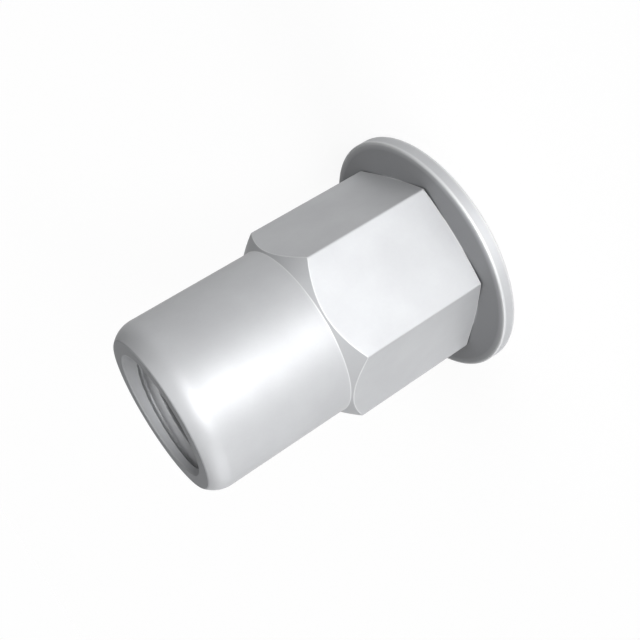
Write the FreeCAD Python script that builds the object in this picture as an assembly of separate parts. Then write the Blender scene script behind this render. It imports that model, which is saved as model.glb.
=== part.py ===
import FreeCAD, Part
import math
import os

# Half hex rivet nut for an M6 screw. Millimetres. The nut stands on the outer face of its flange:
# that face is z = 0, the axis is +Z, and the open end of the tube points up.

# Flange
flange_diameter = 12.7
flange_thickness = 0.7
flange_edge_radius = 0.1

# Hexagonal half of the body, just above the flange
hex_across_flats = 9.0
hex_length = 6.9            # flange underside to the point where the corners begin to taper
hex_corner_radius = 0.12

# Cone that takes the hexagon's corners down to the tube
cone_length = 0.8

# Round half of the body, with its rolled nose
tube_diameter = 8.8
overall_length = 16.0
nose_radius = 1.4
end_face_diameter = 7.8

# Inside, from the tube's end to the flange
lead_in_diameter = 6.4          # of the 45 degree countersink at the open end
thread_minor_diameter = 5.0     # M6 x 1, as tapped; the thread itself is a surface detail
chamber_diameter = 6.8
chamber_depth = 8.6
chamber_cone = 0.9
mouth_chamfer = 0.25

# Worked out from the sizes above
flange_radius = flange_diameter / 2
tube_radius = tube_diameter / 2
end_face_radius = end_face_diameter / 2
lead_in_radius = lead_in_diameter / 2
thread_radius = thread_minor_diameter / 2
chamber_radius = chamber_diameter / 2
hex_corner = hex_across_flats / math.sqrt(3)
hex_top = flange_thickness + hex_length
tube_start = hex_top + cone_length
nose_drop = tube_radius - end_face_radius
nose_length = math.sqrt(nose_radius ** 2 - (nose_radius - nose_drop) ** 2)
nose_start = overall_length - nose_length
nose_angle = math.asin(nose_length / nose_radius)
thread_top = overall_length - (lead_in_radius - thread_radius)
thread_bottom = chamber_depth + chamber_cone


def point(radius, height):
    """A point of a half section, by its radius and its height."""
    return FreeCAD.Vector(radius, 0, height)


def line(start, end):
    return Part.makeLine(point(*start), point(*end))


def arc(start, centre, radius, degrees, end):
    """An arc from start to end about centre, through the point at the given angle."""
    angle = math.radians(degrees)
    middle = point(centre[0] + radius * math.cos(angle), centre[1] + radius * math.sin(angle))
    return Part.Arc(point(*start), middle, point(*end)).toShape()


def turned(edges):
    """The solid swept by a closed half section about the axis."""
    face = Part.Face(Part.Wire(edges))
    return face.revolve(FreeCAD.Vector(0, 0, 0), FreeCAD.Vector(0, 0, 1), 360)


def turned_outline(corners):
    """The same, from straight lines through the corners in order."""
    return turned([line(a, b) for a, b in zip(corners, corners[1:] + corners[:1])])


def flange_disc():
    """A thin disc with both rim edges rounded."""
    edge = flange_edge_radius
    inner = flange_radius - edge
    top = flange_thickness
    return turned([
        line((0, 0), (inner, 0)),
        arc((inner, 0), (inner, edge), edge, -45, (flange_radius, edge)),
        line((flange_radius, edge), (flange_radius, top - edge)),
        arc((flange_radius, top - edge), (inner, top - edge), edge, 45, (inner, top)),
        line((inner, top), (0, top)),
        line((0, top), (0, 0)),
    ])


def hexagonal_bar():
    """A bar of the hexagon's section, over the whole length, with softened corners."""
    corners = []
    for step in range(7):
        angle = math.radians(60 * step)
        corners.append(FreeCAD.Vector(hex_corner * math.cos(angle), hex_corner * math.sin(angle), 0))
    bar = Part.Face(Part.makePolygon(corners)).extrude(FreeCAD.Vector(0, 0, overall_length))
    upright = [edge for edge in bar.Edges if abs(edge.Length - overall_length) < 1e-6]
    return bar.makeFillet(hex_corner_radius, upright)


def body_envelope():
    """The turned outline that trims the bar: corner cone, tube and rounded nose."""
    half_angle = math.degrees(nose_angle) / 2
    nose_centre = (tube_radius - nose_radius, nose_start)
    return turned([
        line((0, 0), (hex_corner, 0)),
        line((hex_corner, 0), (hex_corner, hex_top)),
        line((hex_corner, hex_top), (tube_radius, tube_start)),
        line((tube_radius, tube_start), (tube_radius, nose_start)),
        arc((tube_radius, nose_start), nose_centre, nose_radius, half_angle, (end_face_radius, overall_length)),
        line((end_face_radius, overall_length), (0, overall_length)),
        line((0, overall_length), (0, 0)),
    ])


def stepped_bore():
    """All that is drilled out, as one turned core that runs past both ends."""
    below = -1.0
    above = overall_length + 1.0
    return turned_outline([
        (0, below),
        (chamber_radius + mouth_chamfer, below),
        (chamber_radius + mouth_chamfer, 0),
        (chamber_radius, mouth_chamfer),
        (chamber_radius, chamber_depth),
        (thread_radius, thread_bottom),
        (thread_radius, thread_top),
        (lead_in_radius, overall_length),
        (lead_in_radius, above),
        (0, above),
    ])


body = hexagonal_bar().common(body_envelope())
nut = flange_disc().fuse(body).cut(stepped_bore())
nut = nut.removeSplitter()
nut = nut.Solids[0]

os.makedirs("parts", exist_ok=True)
nut.exportStep("parts/rivet_nut.step")
print("rivet_nut", nut.isValid(), round(nut.Volume, 3), "mm3", nut.BoundBox)
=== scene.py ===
import bpy
import math
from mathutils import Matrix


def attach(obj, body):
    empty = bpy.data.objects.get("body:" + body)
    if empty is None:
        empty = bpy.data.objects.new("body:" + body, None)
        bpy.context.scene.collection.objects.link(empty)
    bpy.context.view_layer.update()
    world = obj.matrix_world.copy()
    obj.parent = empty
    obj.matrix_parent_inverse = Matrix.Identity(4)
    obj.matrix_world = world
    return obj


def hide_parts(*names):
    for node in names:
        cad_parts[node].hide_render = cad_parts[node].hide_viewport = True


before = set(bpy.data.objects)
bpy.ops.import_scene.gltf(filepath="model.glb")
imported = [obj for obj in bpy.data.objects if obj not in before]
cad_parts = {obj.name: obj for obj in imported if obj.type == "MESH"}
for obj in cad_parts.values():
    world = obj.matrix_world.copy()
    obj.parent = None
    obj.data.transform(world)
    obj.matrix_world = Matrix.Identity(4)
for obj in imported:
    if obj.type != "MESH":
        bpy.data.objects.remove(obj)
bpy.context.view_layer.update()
scene = bpy.context.scene
scene.view_settings.view_transform = "Standard"
mm = 0.001
print("frame loaded")


def linearColour(hexCode):
    # sRGB hex to the linear colour that a socket wants
    parts = [int(hexCode[i:i + 2], 16) / 255 for i in (1, 3, 5)]
    return [p / 12.92 if p <= 0.04045 else ((p + 0.055) / 1.055) ** 2.4 for p in parts] + [1.0]


def addNode(tree, kind, *inputs, out=0, **settings):
    # inputs go to the sockets in order, or by name where one of them is a dictionary
    node = tree.nodes.new(kind)
    for name, value in settings.items():
        setattr(node, name, value)
    wanted = {}
    for number, value in enumerate(inputs):
        wanted.update(value if isinstance(value, dict) else {number: value})
    for key, value in wanted.items():
        if isinstance(value, bpy.types.NodeSocket):
            tree.links.new(value, node.inputs[key])
        else:
            node.inputs[key].default_value = value
    return node.outputs[out] if node.outputs else node


# The nut's half section, in mm, through a corner of the hexagon. Height 0 is the flange's outer face.
nut = {
    "flangeRadius": 6.35,
    "flangeThickness": 0.7,
    "flangeEdge": 0.1,
    "acrossFlats": 9.0,
    "hexTop": 7.6,             # where the corners begin to taper
    "hexCornerRadius": 0.12,
    "rootRelief": 0.12,        # the corners stand this far off the flange
    "rootSlope": 10.7,         # degrees, of the shallow cone that frees them
    "tubeRadius": 4.4,
    "tubeStart": 8.4,
    "noseRadius": 1.4,
    "endFaceRadius": 3.9,
    "length": 16.0,
    "leadInRadius": 3.2,
    "threadTop": 15.3,         # the 45 degree countersink ends here
    "threadBottom": 9.5,
    "chamberRadius": 3.4,
    "chamberTop": 8.6,
    "mouthChamfer": 0.25,
    "edgeRounding": 0.05,      # what tumbling and plating leave of a sharp edge
    "edgeSteps": 4,
    "roundingShare": 0.4,      # of a short stretch, as much as a rounding may take
    "edgeSupport": 0.06,       # a row this far beyond a rounding keeps its shading off the face beside it
    "endSupport": 0.04,        # the same on the tube's end
    "coneSupport": 0.012,      # and on the cone and the tube where they meet
    "supportShare": 0.45,      # of a short stretch, as far from its corner as such a row may lie
    "flatSupport": 0.15,       # a row this far up the flats keeps the relief's shading off them
    "paintedShadeInset": 0.4,          # the seat's painted shade starts this far inside the rim
    "boreInset": 0.1,          # the thread may cut the countersink from this far down
    "noseSteps": 14,
    "rowSpacing": 0.04,        # of the rows that carry the thread
    "columns": 252,            # a multiple of six, so that columns fall on the hexagon's corners
    "columnCrowding": 0.85,    # how strongly the columns gather at the corners
    "weldDistance": 0.001,
    "sharpFrom": 32,           # degrees between two faces whose shading stays apart
}

# The thread, M6 x 1 and right-hand, in mm
thread = {
    "pitch": 1.0,
    "majorRadius": 3.0,
    "minorRadius": 2.5,
    "flankAngle": 60,          # degrees between the two flanks
    "rootFlat": 0.125,
    "softness": 0.05,          # of the crest and the root
    "turnStart": 0.33,         # share of a turn
}


# what a row of the section carries beside its radius and its height; one flag marks painted shade
flagNames = ("follow", "climb", "hexagonal", "bored", "paintedShade", "edge")


def rootRadius():
    # where the corners' relief meets the flange
    corner = nut["acrossFlats"] / math.sqrt(3)
    return corner - nut["rootRelief"] / math.tan(math.radians(nut["rootSlope"]))


def sectionPoint(radius, height, rounding=0, support=0, follow=0, climb=0, hexagonal=0, bored=0, paintedShade=0):
    # support is how far beyond the rounding its extra row lies. follow and climb say how the point moves in
    # and up as the hexagon's radius falls short of its corner, and a hexagonal point stays in the hexagon.
    # the last flag puts painted shade on the point
    return radius, height, rounding, support, follow, climb, hexagonal, bored, paintedShade


def sectionCorners():
    # the closed outline: from the bore's mouth out along the flange, up the body and down the bore
    n = nut
    corner = n["acrossFlats"] / math.sqrt(3)
    coneSlope = (n["tubeStart"] - n["hexTop"]) / (corner - n["tubeRadius"])
    reliefSlope = math.tan(math.radians(n["rootSlope"]))
    seat = n["flangeThickness"]
    reliefTop = seat + n["rootRelief"]
    edge, support = n["edgeRounding"], n["edgeSupport"]
    outline = [
        sectionPoint(n["chamberRadius"] + n["mouthChamfer"], 0, edge, support),
        sectionPoint(n["flangeRadius"], 0, n["flangeEdge"], support),
        sectionPoint(n["flangeRadius"], seat, n["flangeEdge"], support),
        # the seat's rows carry painted shade under the flange
        sectionPoint(n["flangeRadius"] - n["paintedShadeInset"], seat, paintedShade=1),
        sectionPoint(rootRadius() + support, seat, paintedShade=1),
        sectionPoint(rootRadius(), seat, hexagonal=1, paintedShade=1),
        sectionPoint(corner, reliefTop, edge, support, follow=1, climb=-reliefSlope, hexagonal=1),
        sectionPoint(corner, reliefTop + n["flatSupport"], follow=1, hexagonal=1),
        sectionPoint(corner, n["hexTop"], edge, n["coneSupport"], follow=1, climb=coneSlope, hexagonal=1),
        sectionPoint(n["tubeRadius"], n["tubeStart"], edge, n["coneSupport"], hexagonal=1),
    ]
    drop = n["tubeRadius"] - n["endFaceRadius"]
    noseAngle = math.acos(1 - drop / n["noseRadius"])
    noseStart = n["length"] - n["noseRadius"] * math.sin(noseAngle)
    for step in range(n["noseSteps"]):
        turn = noseAngle * step / n["noseSteps"]
        radius = n["tubeRadius"] - n["noseRadius"] * (1 - math.cos(turn))
        outline.append(sectionPoint(radius, noseStart + n["noseRadius"] * math.sin(turn)))
    outline += [
        # the end face and the bore carry painted shade
        sectionPoint(n["endFaceRadius"], n["length"], edge, n["endSupport"], paintedShade=1),
        sectionPoint(n["leadInRadius"], n["length"], edge, n["endSupport"], paintedShade=1),
        sectionPoint(n["leadInRadius"] - n["boreInset"], n["length"] - n["boreInset"], bored=1, paintedShade=1),
        sectionPoint(thread["minorRadius"], n["threadTop"], bored=1),
        sectionPoint(thread["minorRadius"], n["threadBottom"], bored=1, paintedShade=1),
        sectionPoint(n["chamberRadius"], n["chamberTop"], bored=1, paintedShade=1),
        sectionPoint(n["chamberRadius"], n["mouthChamfer"], edge, support),
    ]
    return outline


def sectionRows(outline):
    # rounds the corners, adds support rows beside them and fine rows where the thread is cut
    rows = []
    for place, here in enumerate(outline):
        radius, height, rounding, support, *flags = here
        if not rounding:
            rows.append([radius, height, *flags, 0])
            continue
        before, after = outline[place - 1], outline[(place + 1) % len(outline)]
        inward = (before[0] - radius, before[1] - height)
        outward = (after[0] - radius, after[1] - height)
        lengths = (math.hypot(*inward), math.hypot(*outward))
        inward = (inward[0] / lengths[0], inward[1] / lengths[0])
        outward = (outward[0] / lengths[1], outward[1] / lengths[1])
        turn = math.pi - math.acos(max(-1, min(1, inward[0] * outward[0] + inward[1] * outward[1])))
        reach = min(rounding * math.tan(turn / 2), nut["roundingShare"] * min(lengths))
        away = [min(reach + support, nut["supportShare"] * length) for length in lengths]

        def along(direction, distance):
            return radius + direction[0] * distance, height + direction[1] * distance

        first, last = along(inward, reach), along(outward, reach)
        rows.append([*along(inward, away[0]), *flags, 0])
        for step in range(nut["edgeSteps"] + 1):     # a quadratic curve is close to the arc at this size
            t = step / nut["edgeSteps"]
            point = [(1 - t) ** 2 * first[i] + 2 * t * (1 - t) * here[i] + t * t * last[i] for i in (0, 1)]
            rows.append([*point, *flags, 1])
        rows.append([*along(outward, away[1]), *flags, 0])
    fine = []
    bored = 2 + flagNames.index("bored")
    for row, following in zip(rows, rows[1:] + rows[:1]):
        parts = 1
        if row[bored] and following[bored]:
            parts = math.ceil(math.dist(row[:2], following[:2]) / nut["rowSpacing"])
        for step in range(parts):
            fine.append([a + (b - a) * step / parts for a, b in zip(row, following)])
    return fine


def turnedNutTree():
    # turns the section about the axis, trims it to the hexagon and cuts the thread into the bore
    tree = bpy.data.node_groups.new("turnedHexNut", "GeometryNodeTree")
    face = tree.interface
    face.new_socket("Geometry", in_out="INPUT", socket_type="NodeSocketGeometry")
    for name, kind in (("Columns", "Int"), ("Column crowding", "Float"), ("Across flats", "Float"),
                       ("Hex corner radius", "Float"), ("Flange thickness", "Float"),
                       ("Root radius", "Float"), ("Pitch", "Float"), ("Major radius", "Float"),
                       ("Root flat", "Float"), ("Softness", "Float"), ("Turn start", "Float"),
                       ("Material", "Material")):
        face.new_socket(name, in_out="INPUT", socket_type="NodeSocket" + kind)
    face.new_socket("Geometry", in_out="OUTPUT", socket_type="NodeSocketGeometry")
    given = tree.nodes.new("NodeGroupInput").outputs
    maths = "ShaderNodeMath"
    sides = 6
    halfSide = math.pi / sides     # the angle from the middle of a flat to its corner

    # a grid of rows along the section and columns round the axis, closed on itself at the end
    rows = addNode(tree, "GeometryNodeAttributeDomainSize", given["Geometry"])
    rowsClosed = addNode(tree, maths, rows, 1.0, operation="ADD")
    columnsClosed = addNode(tree, maths, given["Columns"], 1.0, operation="ADD")
    grid = addNode(tree, "GeometryNodeMeshGrid", {"Vertices X": columnsClosed, "Vertices Y": rowsClosed})
    index = addNode(tree, maths, addNode(tree, "GeometryNodeInputIndex"), 0.5, operation="ADD")
    column = addNode(tree, maths, addNode(tree, maths, index, rowsClosed, operation="DIVIDE"),
                     operation="FLOOR")
    rowInColumn = addNode(tree, maths, index, rowsClosed, operation="MODULO")
    rowNumber = addNode(tree, maths, addNode(tree, maths, rowInColumn, operation="FLOOR"), rows,
                        operation="MODULO")
    columnNumber = addNode(tree, maths, column, given["Columns"], operation="MODULO")

    # the angle, with the columns gathered at the six corners
    share = addNode(tree, maths, columnNumber, given["Columns"], operation="DIVIDE")
    evenAngle = addNode(tree, maths, share, math.tau, operation="MULTIPLY")
    sixfold = addNode(tree, maths, evenAngle, sides, operation="MULTIPLY")
    wave = addNode(tree, maths, sixfold, operation="SINE")
    pull = addNode(tree, maths, given["Column crowding"], sides, operation="DIVIDE")
    angle = addNode(tree, maths, evenAngle, addNode(tree, maths, wave, pull, operation="MULTIPLY"),
                    operation="SUBTRACT")

    # the row's own place and its flags
    spot = addNode(tree, "GeometryNodeSampleIndex", {"Geometry": given["Geometry"], "Index": rowNumber,
                   "Value": addNode(tree, "GeometryNodeInputPosition")}, data_type="FLOAT_VECTOR")
    sectionRadius = addNode(tree, "ShaderNodeSeparateXYZ", spot)
    sectionHeight = sectionRadius.node.outputs["Z"]
    flags = {}
    for name in flagNames:
        named = addNode(tree, "GeometryNodeInputNamedAttribute", {"Name": name}, data_type="FLOAT")
        flags[name] = addNode(tree, "GeometryNodeSampleIndex", {"Geometry": given["Geometry"],
                              "Index": rowNumber, "Value": named}, data_type="FLOAT")

    # the hexagon's radius at this angle: a flat, or the small arc at a corner
    shifted = addNode(tree, maths, angle, halfSide, operation="ADD")
    folded = addNode(tree, maths, addNode(tree, maths, shifted, 2 * halfSide, operation="FLOORED_MODULO"),
                     halfSide, operation="SUBTRACT")
    fromCorner = addNode(tree, maths, folded, operation="ABSOLUTE")
    apothem = addNode(tree, maths, given["Across flats"], 0.5, operation="MULTIPLY")
    fromFlat = addNode(tree, maths, halfSide, fromCorner, operation="SUBTRACT")
    flatRadius = addNode(tree, maths, apothem, addNode(tree, maths, fromFlat, operation="COSINE"),
                         operation="DIVIDE")
    arcRadius = given["Hex corner radius"]
    inset = addNode(tree, maths, apothem, arcRadius, operation="SUBTRACT")
    arcCentre = addNode(tree, maths, inset, math.cos(halfSide), operation="DIVIDE")
    across = addNode(tree, maths, arcCentre, addNode(tree, maths, fromCorner, operation="SINE"),
                     operation="MULTIPLY")
    onward = addNode(tree, maths, arcCentre, addNode(tree, maths, fromCorner, operation="COSINE"),
                     operation="MULTIPLY")
    left = addNode(tree, maths, addNode(tree, maths, arcRadius, 2.0, operation="POWER"),
                   addNode(tree, maths, across, 2.0, operation="POWER"), operation="SUBTRACT")
    bulge = addNode(tree, maths, addNode(tree, maths, left, 0.0, operation="MAXIMUM"), operation="SQRT")
    roundRadius = addNode(tree, maths, onward, bulge, operation="ADD")
    arcHalf = addNode(tree, maths, arcRadius, math.sin(halfSide), operation="MULTIPLY")
    arcAhead = addNode(tree, maths, arcRadius, math.cos(halfSide), arcCentre, operation="MULTIPLY_ADD")
    arcEnd = addNode(tree, maths, arcHalf, arcAhead, operation="ARCTAN2")
    onArc = addNode(tree, maths, fromCorner, arcEnd, operation="LESS_THAN")
    hexRadius = addNode(tree, "GeometryNodeSwitch", {"Switch": onArc, "False": flatRadius,
                        "True": roundRadius}, input_type="FLOAT")
    cornerRadius = addNode(tree, maths, apothem, math.cos(halfSide), operation="DIVIDE")
    shortfall = addNode(tree, maths, cornerRadius, hexRadius, operation="SUBTRACT")

    # what the hexagon does to the row
    movedIn = addNode(tree, maths, flags["follow"], shortfall, operation="MULTIPLY")
    radius = addNode(tree, maths, sectionRadius, movedIn, operation="SUBTRACT")
    height = addNode(tree, maths, flags["climb"], shortfall, sectionHeight, operation="MULTIPLY_ADD")
    inHex = addNode(tree, maths, flags["hexagonal"], 0.5, operation="GREATER_THAN")
    radius = addNode(tree, "GeometryNodeSwitch", {"Switch": inHex, "False": radius, "True":
                     addNode(tree, maths, radius, hexRadius, operation="MINIMUM")}, input_type="FLOAT")

    # a row of the body that would end up in the flange falls together with the root
    below = addNode(tree, maths, height, given["Flange thickness"], operation="LESS_THAN")
    buried = addNode(tree, maths, below, flags["hexagonal"], operation="MULTIPLY")
    root = addNode(tree, maths, given["Root radius"], hexRadius, operation="MINIMUM")
    radius = addNode(tree, "GeometryNodeSwitch", {"Switch": buried, "False": radius, "True": root},
                     input_type="FLOAT")
    height = addNode(tree, "GeometryNodeSwitch", {"Switch": buried, "False": height,
                     "True": given["Flange thickness"]}, input_type="FLOAT")
    flags["edge"] = addNode(tree, "GeometryNodeSwitch", {"Switch": buried, "False": flags["edge"]},
                            input_type="FLOAT")

    # the right-hand thread: how far this point is from the middle of its groove, along the axis
    turns = addNode(tree, maths, addNode(tree, maths, height, given["Pitch"], operation="DIVIDE"),
                    addNode(tree, maths, angle, math.tau, operation="DIVIDE"), operation="SUBTRACT")
    phase = addNode(tree, maths, addNode(tree, maths, turns, given["Turn start"], operation="ADD"),
                    operation="FRACT")
    offMiddle = addNode(tree, maths, addNode(tree, maths, phase, 0.5, operation="SUBTRACT"),
                        operation="ABSOLUTE")
    away = addNode(tree, maths, offMiddle, given["Pitch"], operation="MULTIPLY")
    halfRoot = addNode(tree, maths, given["Root flat"], 0.5, operation="MULTIPLY")
    upFlank = addNode(tree, maths, addNode(tree, maths, away, halfRoot, operation="SUBTRACT"), 0.0,
                      given["Softness"], operation="SMOOTH_MAX")
    flankSlope = 1 / math.tan(math.radians(thread["flankAngle"] / 2))
    rise = addNode(tree, maths, upFlank, flankSlope, operation="MULTIPLY")
    grooveRadius = addNode(tree, maths, given["Major radius"], rise, operation="SUBTRACT")
    cut = addNode(tree, maths, radius, grooveRadius, given["Softness"], operation="SMOOTH_MAX")
    inBore = addNode(tree, maths, flags["bored"], 0.5, operation="GREATER_THAN")
    radius = addNode(tree, "GeometryNodeSwitch", {"Switch": inBore, "False": radius, "True": cut},
                     input_type="FLOAT")

    # place the grid, close its seams and finish
    x = addNode(tree, maths, radius, addNode(tree, maths, angle, operation="COSINE"), operation="MULTIPLY")
    y = addNode(tree, maths, radius, addNode(tree, maths, angle, operation="SINE"), operation="MULTIPLY")
    shaped = addNode(tree, "GeometryNodeSetPosition", {"Geometry": grid, "Position":
                     addNode(tree, "ShaderNodeCombineXYZ", x, y, height)})
    # the edge flag and the painted shade go on to the material
    for name in ("edge", "paintedShade"):
        shaped = addNode(tree, "GeometryNodeStoreNamedAttribute", {"Geometry": shaped, "Name": name,
                         "Value": flags[name]}, data_type="FLOAT", domain="POINT")
    closed = addNode(tree, "GeometryNodeMergeByDistance", {"Geometry": shaped,
                     "Distance": nut["weldDistance"] * mm})
    smooth = addNode(tree, "GeometryNodeSetShadeSmooth", {"Geometry": closed, "Shade Smooth": True},
                     domain="FACE")
    bend = addNode(tree, "GeometryNodeInputMeshEdgeAngle")
    sharp = addNode(tree, maths, bend, math.radians(nut["sharpFrom"]), operation="GREATER_THAN")
    creased = addNode(tree, "GeometryNodeSetShadeSmooth", {"Geometry": smooth, "Selection": sharp,
                      "Shade Smooth": False}, domain="EDGE")
    whole = addNode(tree, "GeometryNodeRealizeInstances", creased)
    finished = addNode(tree, "GeometryNodeSetMaterial", {"Geometry": whole, "Material": given["Material"]})
    tree.links.new(finished, tree.nodes.new("NodeGroupOutput").inputs[0])
    return tree


# Zinc plating on cold-formed steel, tumbled and passivated: a satin, neutral grey metal. The eye sees a soft
# sheen over a slightly chalky grey, a faint lengthwise drawing grain from the forming die, a slightly uneven
# plating and brighter, rubbed edges. A darker tone is painted shade on the end face, down the bore and under
# the flange.
zinc = {
    "colour": "#A6A7A9",
    "shade": "#A2A3A5",        # thinner plating
    "rubbed": "#B6B7B8",       # edges
    "paintedShade": "#8A8B8D",         # painted shade: a darker tone on the cut end, down the bore and under the flange
    "metallic": 0.65,          # the passivated skin scatters the rest
    "roughness": 0.58,
    "roughnessSpread": 0.03,
    "paintedShadeRoughness": 0.12,     # how much rougher the places with painted shade are
    "patchSize": 2.5,          # mm
    "patchFrom": 0.35,         # of the noise, where the plating begins to thin
    "patchTo": 0.65,
    "unevenFrom": 0.3,         # of the noise, where the surface is smoothest
    "unevenTo": 0.7,           # and roughest
    "speckleSize": 0.12,       # mm, the crystals of the plating, drawn coarse enough to show
    "grainWidth": 0.09,        # mm, drawing marks along the axis, coarser than real
    "grainStretch": 0.03,      # a mark's width over its length
    "grainDepth": 0.0012,      # mm
}


def zincPlatedSteel():
    material = bpy.data.materials.new("zincPlatedSteel")
    material.use_nodes = True
    tree = material.node_tree
    tree.nodes.clear()
    spot = addNode(tree, "ShaderNodeTexCoord", out="Object")
    patches = addNode(tree, "ShaderNodeTexNoise", {"Vector": spot, "Scale": 1 / (zinc["patchSize"] * mm),
                      "Detail": 3.0, "Roughness": 0.5})
    speckle = addNode(tree, "ShaderNodeTexNoise", {"Vector": spot, "Scale": 1 / (zinc["speckleSize"] * mm),
                      "Detail": 2.0, "Roughness": 0.6})
    lengthwise = addNode(tree, "ShaderNodeMapping", {"Vector": spot,
                         "Scale": (1.0, 1.0, zinc["grainStretch"])})
    grain = addNode(tree, "ShaderNodeTexNoise", {"Vector": lengthwise, "Detail": 2.0, "Roughness": 0.5,
                    "Scale": 1 / (zinc["grainWidth"] * mm)})
    edge = addNode(tree, "ShaderNodeAttribute", attribute_name="edge", out="Fac")
    # painted shade: a darker tone under the flange, on the end face and down the bore
    paintedShade = addNode(tree, "ShaderNodeAttribute", attribute_name="paintedShade", out="Fac")
    thinner = addNode(tree, "ShaderNodeMapRange", {"Value": patches, "From Min": zinc["patchFrom"],
                      "From Max": zinc["patchTo"]})
    # a Mix node's colours are its sockets 6 and 7, and their mix is its output 2
    plated = addNode(tree, "ShaderNodeMix", {"Factor": thinner, 6: linearColour(zinc["colour"]),
                     7: linearColour(zinc["shade"])}, data_type="RGBA", out=2)
    rubbed = addNode(tree, "ShaderNodeMix", {"Factor": edge, 6: plated, 7: linearColour(zinc["rubbed"])},
                     data_type="RGBA", out=2)
    colour = addNode(tree, "ShaderNodeMix", {"Factor": paintedShade, 6: rubbed, 7: linearColour(zinc["paintedShade"])},
                     data_type="RGBA", out=2)
    uneven = addNode(tree, "ShaderNodeMath", addNode(tree, "ShaderNodeMath", speckle, patches,
                     operation="ADD"), 0.5, operation="MULTIPLY")
    plain = addNode(tree, "ShaderNodeMapRange", {"Value": uneven, "From Min": zinc["unevenFrom"],
                    "From Max": zinc["unevenTo"], "To Min": zinc["roughness"] - zinc["roughnessSpread"],
                    "To Max": zinc["roughness"] + zinc["roughnessSpread"]})
    roughness = addNode(tree, "ShaderNodeMath", paintedShade, zinc["paintedShadeRoughness"], plain, operation="MULTIPLY_ADD")
    bump = addNode(tree, "ShaderNodeBump", {"Height": grain, "Strength": 1.0,
                   "Distance": zinc["grainDepth"] * mm})
    shader = addNode(tree, "ShaderNodeBsdfPrincipled", {"Base Color": colour, "Roughness": roughness,
                     "Normal": bump, "Metallic": zinc["metallic"]})
    addNode(tree, "ShaderNodeOutputMaterial", shader)
    return material


def buildNut(material):
    rows = sectionRows(sectionCorners())
    mesh = bpy.data.meshes.new("nutSection")
    points = [(row[0] * mm, 0, row[1] * mm) for row in rows]
    mesh.from_pydata(points, [(i, (i + 1) % len(points)) for i in range(len(points))], [])
    for column, name in enumerate(flagNames, start=2):
        attribute = mesh.attributes.new(name, "FLOAT", "POINT")
        for value, row in zip(attribute.data, rows):
            value.value = row[column]
    section = bpy.data.objects.new("nutSection", mesh)
    scene.collection.objects.link(section)
    tree = turnedNutTree()
    wanted = {"Columns": nut["columns"], "Column crowding": nut["columnCrowding"],
              "Across flats": nut["acrossFlats"] * mm, "Hex corner radius": nut["hexCornerRadius"] * mm,
              "Flange thickness": nut["flangeThickness"] * mm, "Root radius": rootRadius() * mm,
              "Pitch": thread["pitch"] * mm, "Major radius": thread["majorRadius"] * mm,
              "Root flat": thread["rootFlat"] * mm, "Softness": thread["softness"] * mm,
              "Turn start": thread["turnStart"], "Material": material}
    modifier = section.modifiers.new("turnedHexNut", "NODES")
    modifier.node_group = tree
    for item in tree.interface.items_tree:
        if item.in_out == "INPUT" and item.name in wanted:
            modifier[item.identifier] = wanted[item.name]
    shaped = section.evaluated_get(bpy.context.evaluated_depsgraph_get())
    solid = bpy.data.meshes.new_from_object(shaped, preserve_all_data_layers=True,
                                            depsgraph=bpy.context.evaluated_depsgraph_get())
    section.modifiers.clear()
    bpy.data.objects.remove(section)
    solid.name = "rivetNutMesh"
    piece = bpy.data.objects.new("rivetNut", solid)
    scene.collection.objects.link(piece)
    print("nut built,", len(solid.vertices), "points,", sum(len(p.vertices) - 2 for p in solid.polygons),
          "triangles")
    return piece


rivetNut = buildNut(zincPlatedSteel())
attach(rivetNut, "root")
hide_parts("rivet_nut")

# Floor, world and lamps: a pale table under soft light from above, with low light from the front and one side
studio = {
    "floorColour": "#FDFDFD",
    "floorSize": 20.0,         # m
    "paperWhite": 0.84,        # share of plain white that the eye and the reflections see in the paper
    "skyLow": "#FEFEFE",       # pale near the horizon, as the floor is
    "skyFront": "#CCCCCC",     # a large pale diffuser up in front
    "skyBack": "#3C3C3C",      # a dimmer room behind, which the faces that look up reflect
    "lowUpTo": 0.06,           # sine of the elevation
    "highFrom": 0.2,
    "diffuserAzimuth": -100,   # degrees
    "diffuserFrom": -0.4,      # how far a direction points to the diffuser
    "diffuserFull": 0.6,
    # degrees, but for the strength
    "above": {"strength": 1.4, "softness": 60, "elevation": 82, "azimuth": -60},
    "front": {"strength": 7.0, "softness": 18, "elevation": 2, "azimuth": -102},
    "side": {"strength": 2.2, "softness": 60, "elevation": 2, "azimuth": 172},
}


def addFloor():
    size = studio["floorSize"] / 2
    mesh = bpy.data.meshes.new("floor")
    mesh.from_pydata([(-size, -size, 0), (size, -size, 0), (size, size, 0), (-size, size, 0)], [],
                     [(0, 1, 2, 3)])
    floor = bpy.data.objects.new("floor", mesh)
    scene.collection.objects.link(floor)
    material = bpy.data.materials.new("paperSweep")
    material.use_nodes = True
    tree = material.node_tree
    tree.nodes.clear()
    paper = addNode(tree, "ShaderNodeBsdfDiffuse", {"Color": linearColour(studio["floorColour"])})
    rays = tree.nodes.new("ShaderNodeLightPath").outputs
    seen = addNode(tree, "ShaderNodeMath", rays["Is Camera Ray"], rays["Is Glossy Ray"], operation="MAXIMUM")
    seen = addNode(tree, "ShaderNodeMath", seen, rays["Is Transmission Ray"], operation="MAXIMUM")
    white = addNode(tree, "ShaderNodeMath", seen, studio["paperWhite"], operation="MULTIPLY")
    addNode(tree, "ShaderNodeOutputMaterial", addNode(tree, "ShaderNodeMixShader", white, paper,
            addNode(tree, "ShaderNodeEmission", {"Strength": 1.0})))
    mesh.materials.append(material)


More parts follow.
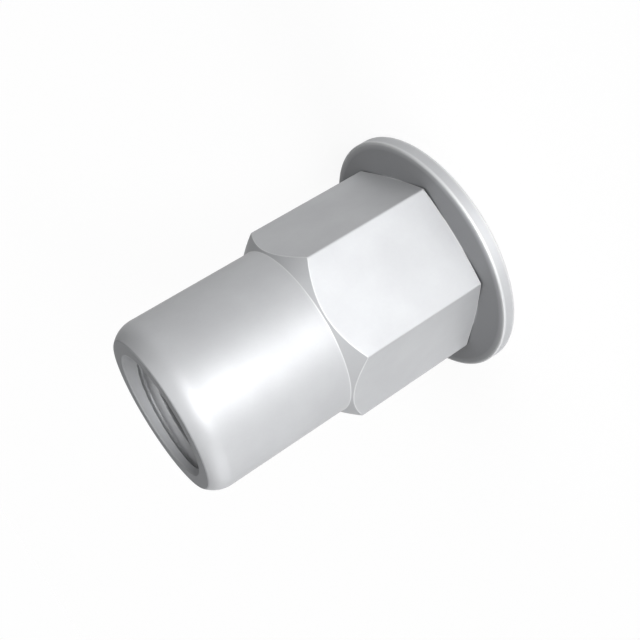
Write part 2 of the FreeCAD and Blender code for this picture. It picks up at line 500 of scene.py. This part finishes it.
def addWorld():
    world = bpy.data.worlds.new("softRoom")
    scene.world = world
    world.use_nodes = True
    tree = world.node_tree
    tree.nodes.clear()
    direction = addNode(tree, "ShaderNodeTexCoord", out="Generated")
    climb = addNode(tree, "ShaderNodeMapRange", {"Value": addNode(tree, "ShaderNodeSeparateXYZ", direction,
                    out="Z"), "From Min": studio["lowUpTo"], "From Max": studio["highFrom"]},
                    interpolation_type="SMOOTHSTEP")
    turn = math.radians(studio["diffuserAzimuth"])
    facing = addNode(tree, "ShaderNodeVectorMath", direction, (math.cos(turn), math.sin(turn), 0.0),
                     operation="DOT_PRODUCT", out="Value")
    towards = addNode(tree, "ShaderNodeMapRange", {"Value": facing, "From Min": studio["diffuserFrom"],
                      "From Max": studio["diffuserFull"]}, interpolation_type="SMOOTHSTEP")
    high = addNode(tree, "ShaderNodeMix", {"Factor": towards, 6: linearColour(studio["skyBack"]),
                   7: linearColour(studio["skyFront"])}, data_type="RGBA", out=2)
    sky = addNode(tree, "ShaderNodeMix", {"Factor": climb, 6: linearColour(studio["skyLow"]), 7: high},
                  data_type="RGBA", out=2)
    addNode(tree, "ShaderNodeOutputWorld", addNode(tree, "ShaderNodeBackground", {"Color": sky}))


def addLamp(name, values):
    data = bpy.data.lights.new(name, "SUN")
    data.energy = values["strength"]
    data.angle = math.radians(values["softness"])
    lamp = bpy.data.objects.new(name, data)
    scene.collection.objects.link(lamp)
    lamp.rotation_euler = (math.radians(90 - values["elevation"]), 0, math.radians(values["azimuth"] + 90))


addFloor()
addWorld()
for lampName in ("above", "front", "side"):
    addLamp(lampName, studio[lampName])
print("studio built")

# The camera is rolled, because the photograph shows the nut lying and the model stands on its flange
shot = {
    "lens": 55.21,                             # mm
    "sensorWidth": 36,                         # mm
    "nearest": 1,                              # mm
    "furthest": 50,                            # m
    "place": (0.824, -44.646, 23.895),         # mm
    "turn": (-54.267, 52.527, -149.023),       # degrees
}
camera = bpy.data.objects.new("camera", bpy.data.cameras.new("camera"))
camera.data.lens = shot["lens"]
camera.data.sensor_width = shot["sensorWidth"]
camera.data.clip_start = shot["nearest"] * mm
camera.data.clip_end = shot["furthest"]
camera.location = [v * mm for v in shot["place"]]
camera.rotation_euler = [math.radians(v) for v in shot["turn"]]
scene.collection.objects.link(camera)
scene.camera = camera
print("camera placed")

bpy.context.view_layer.update()
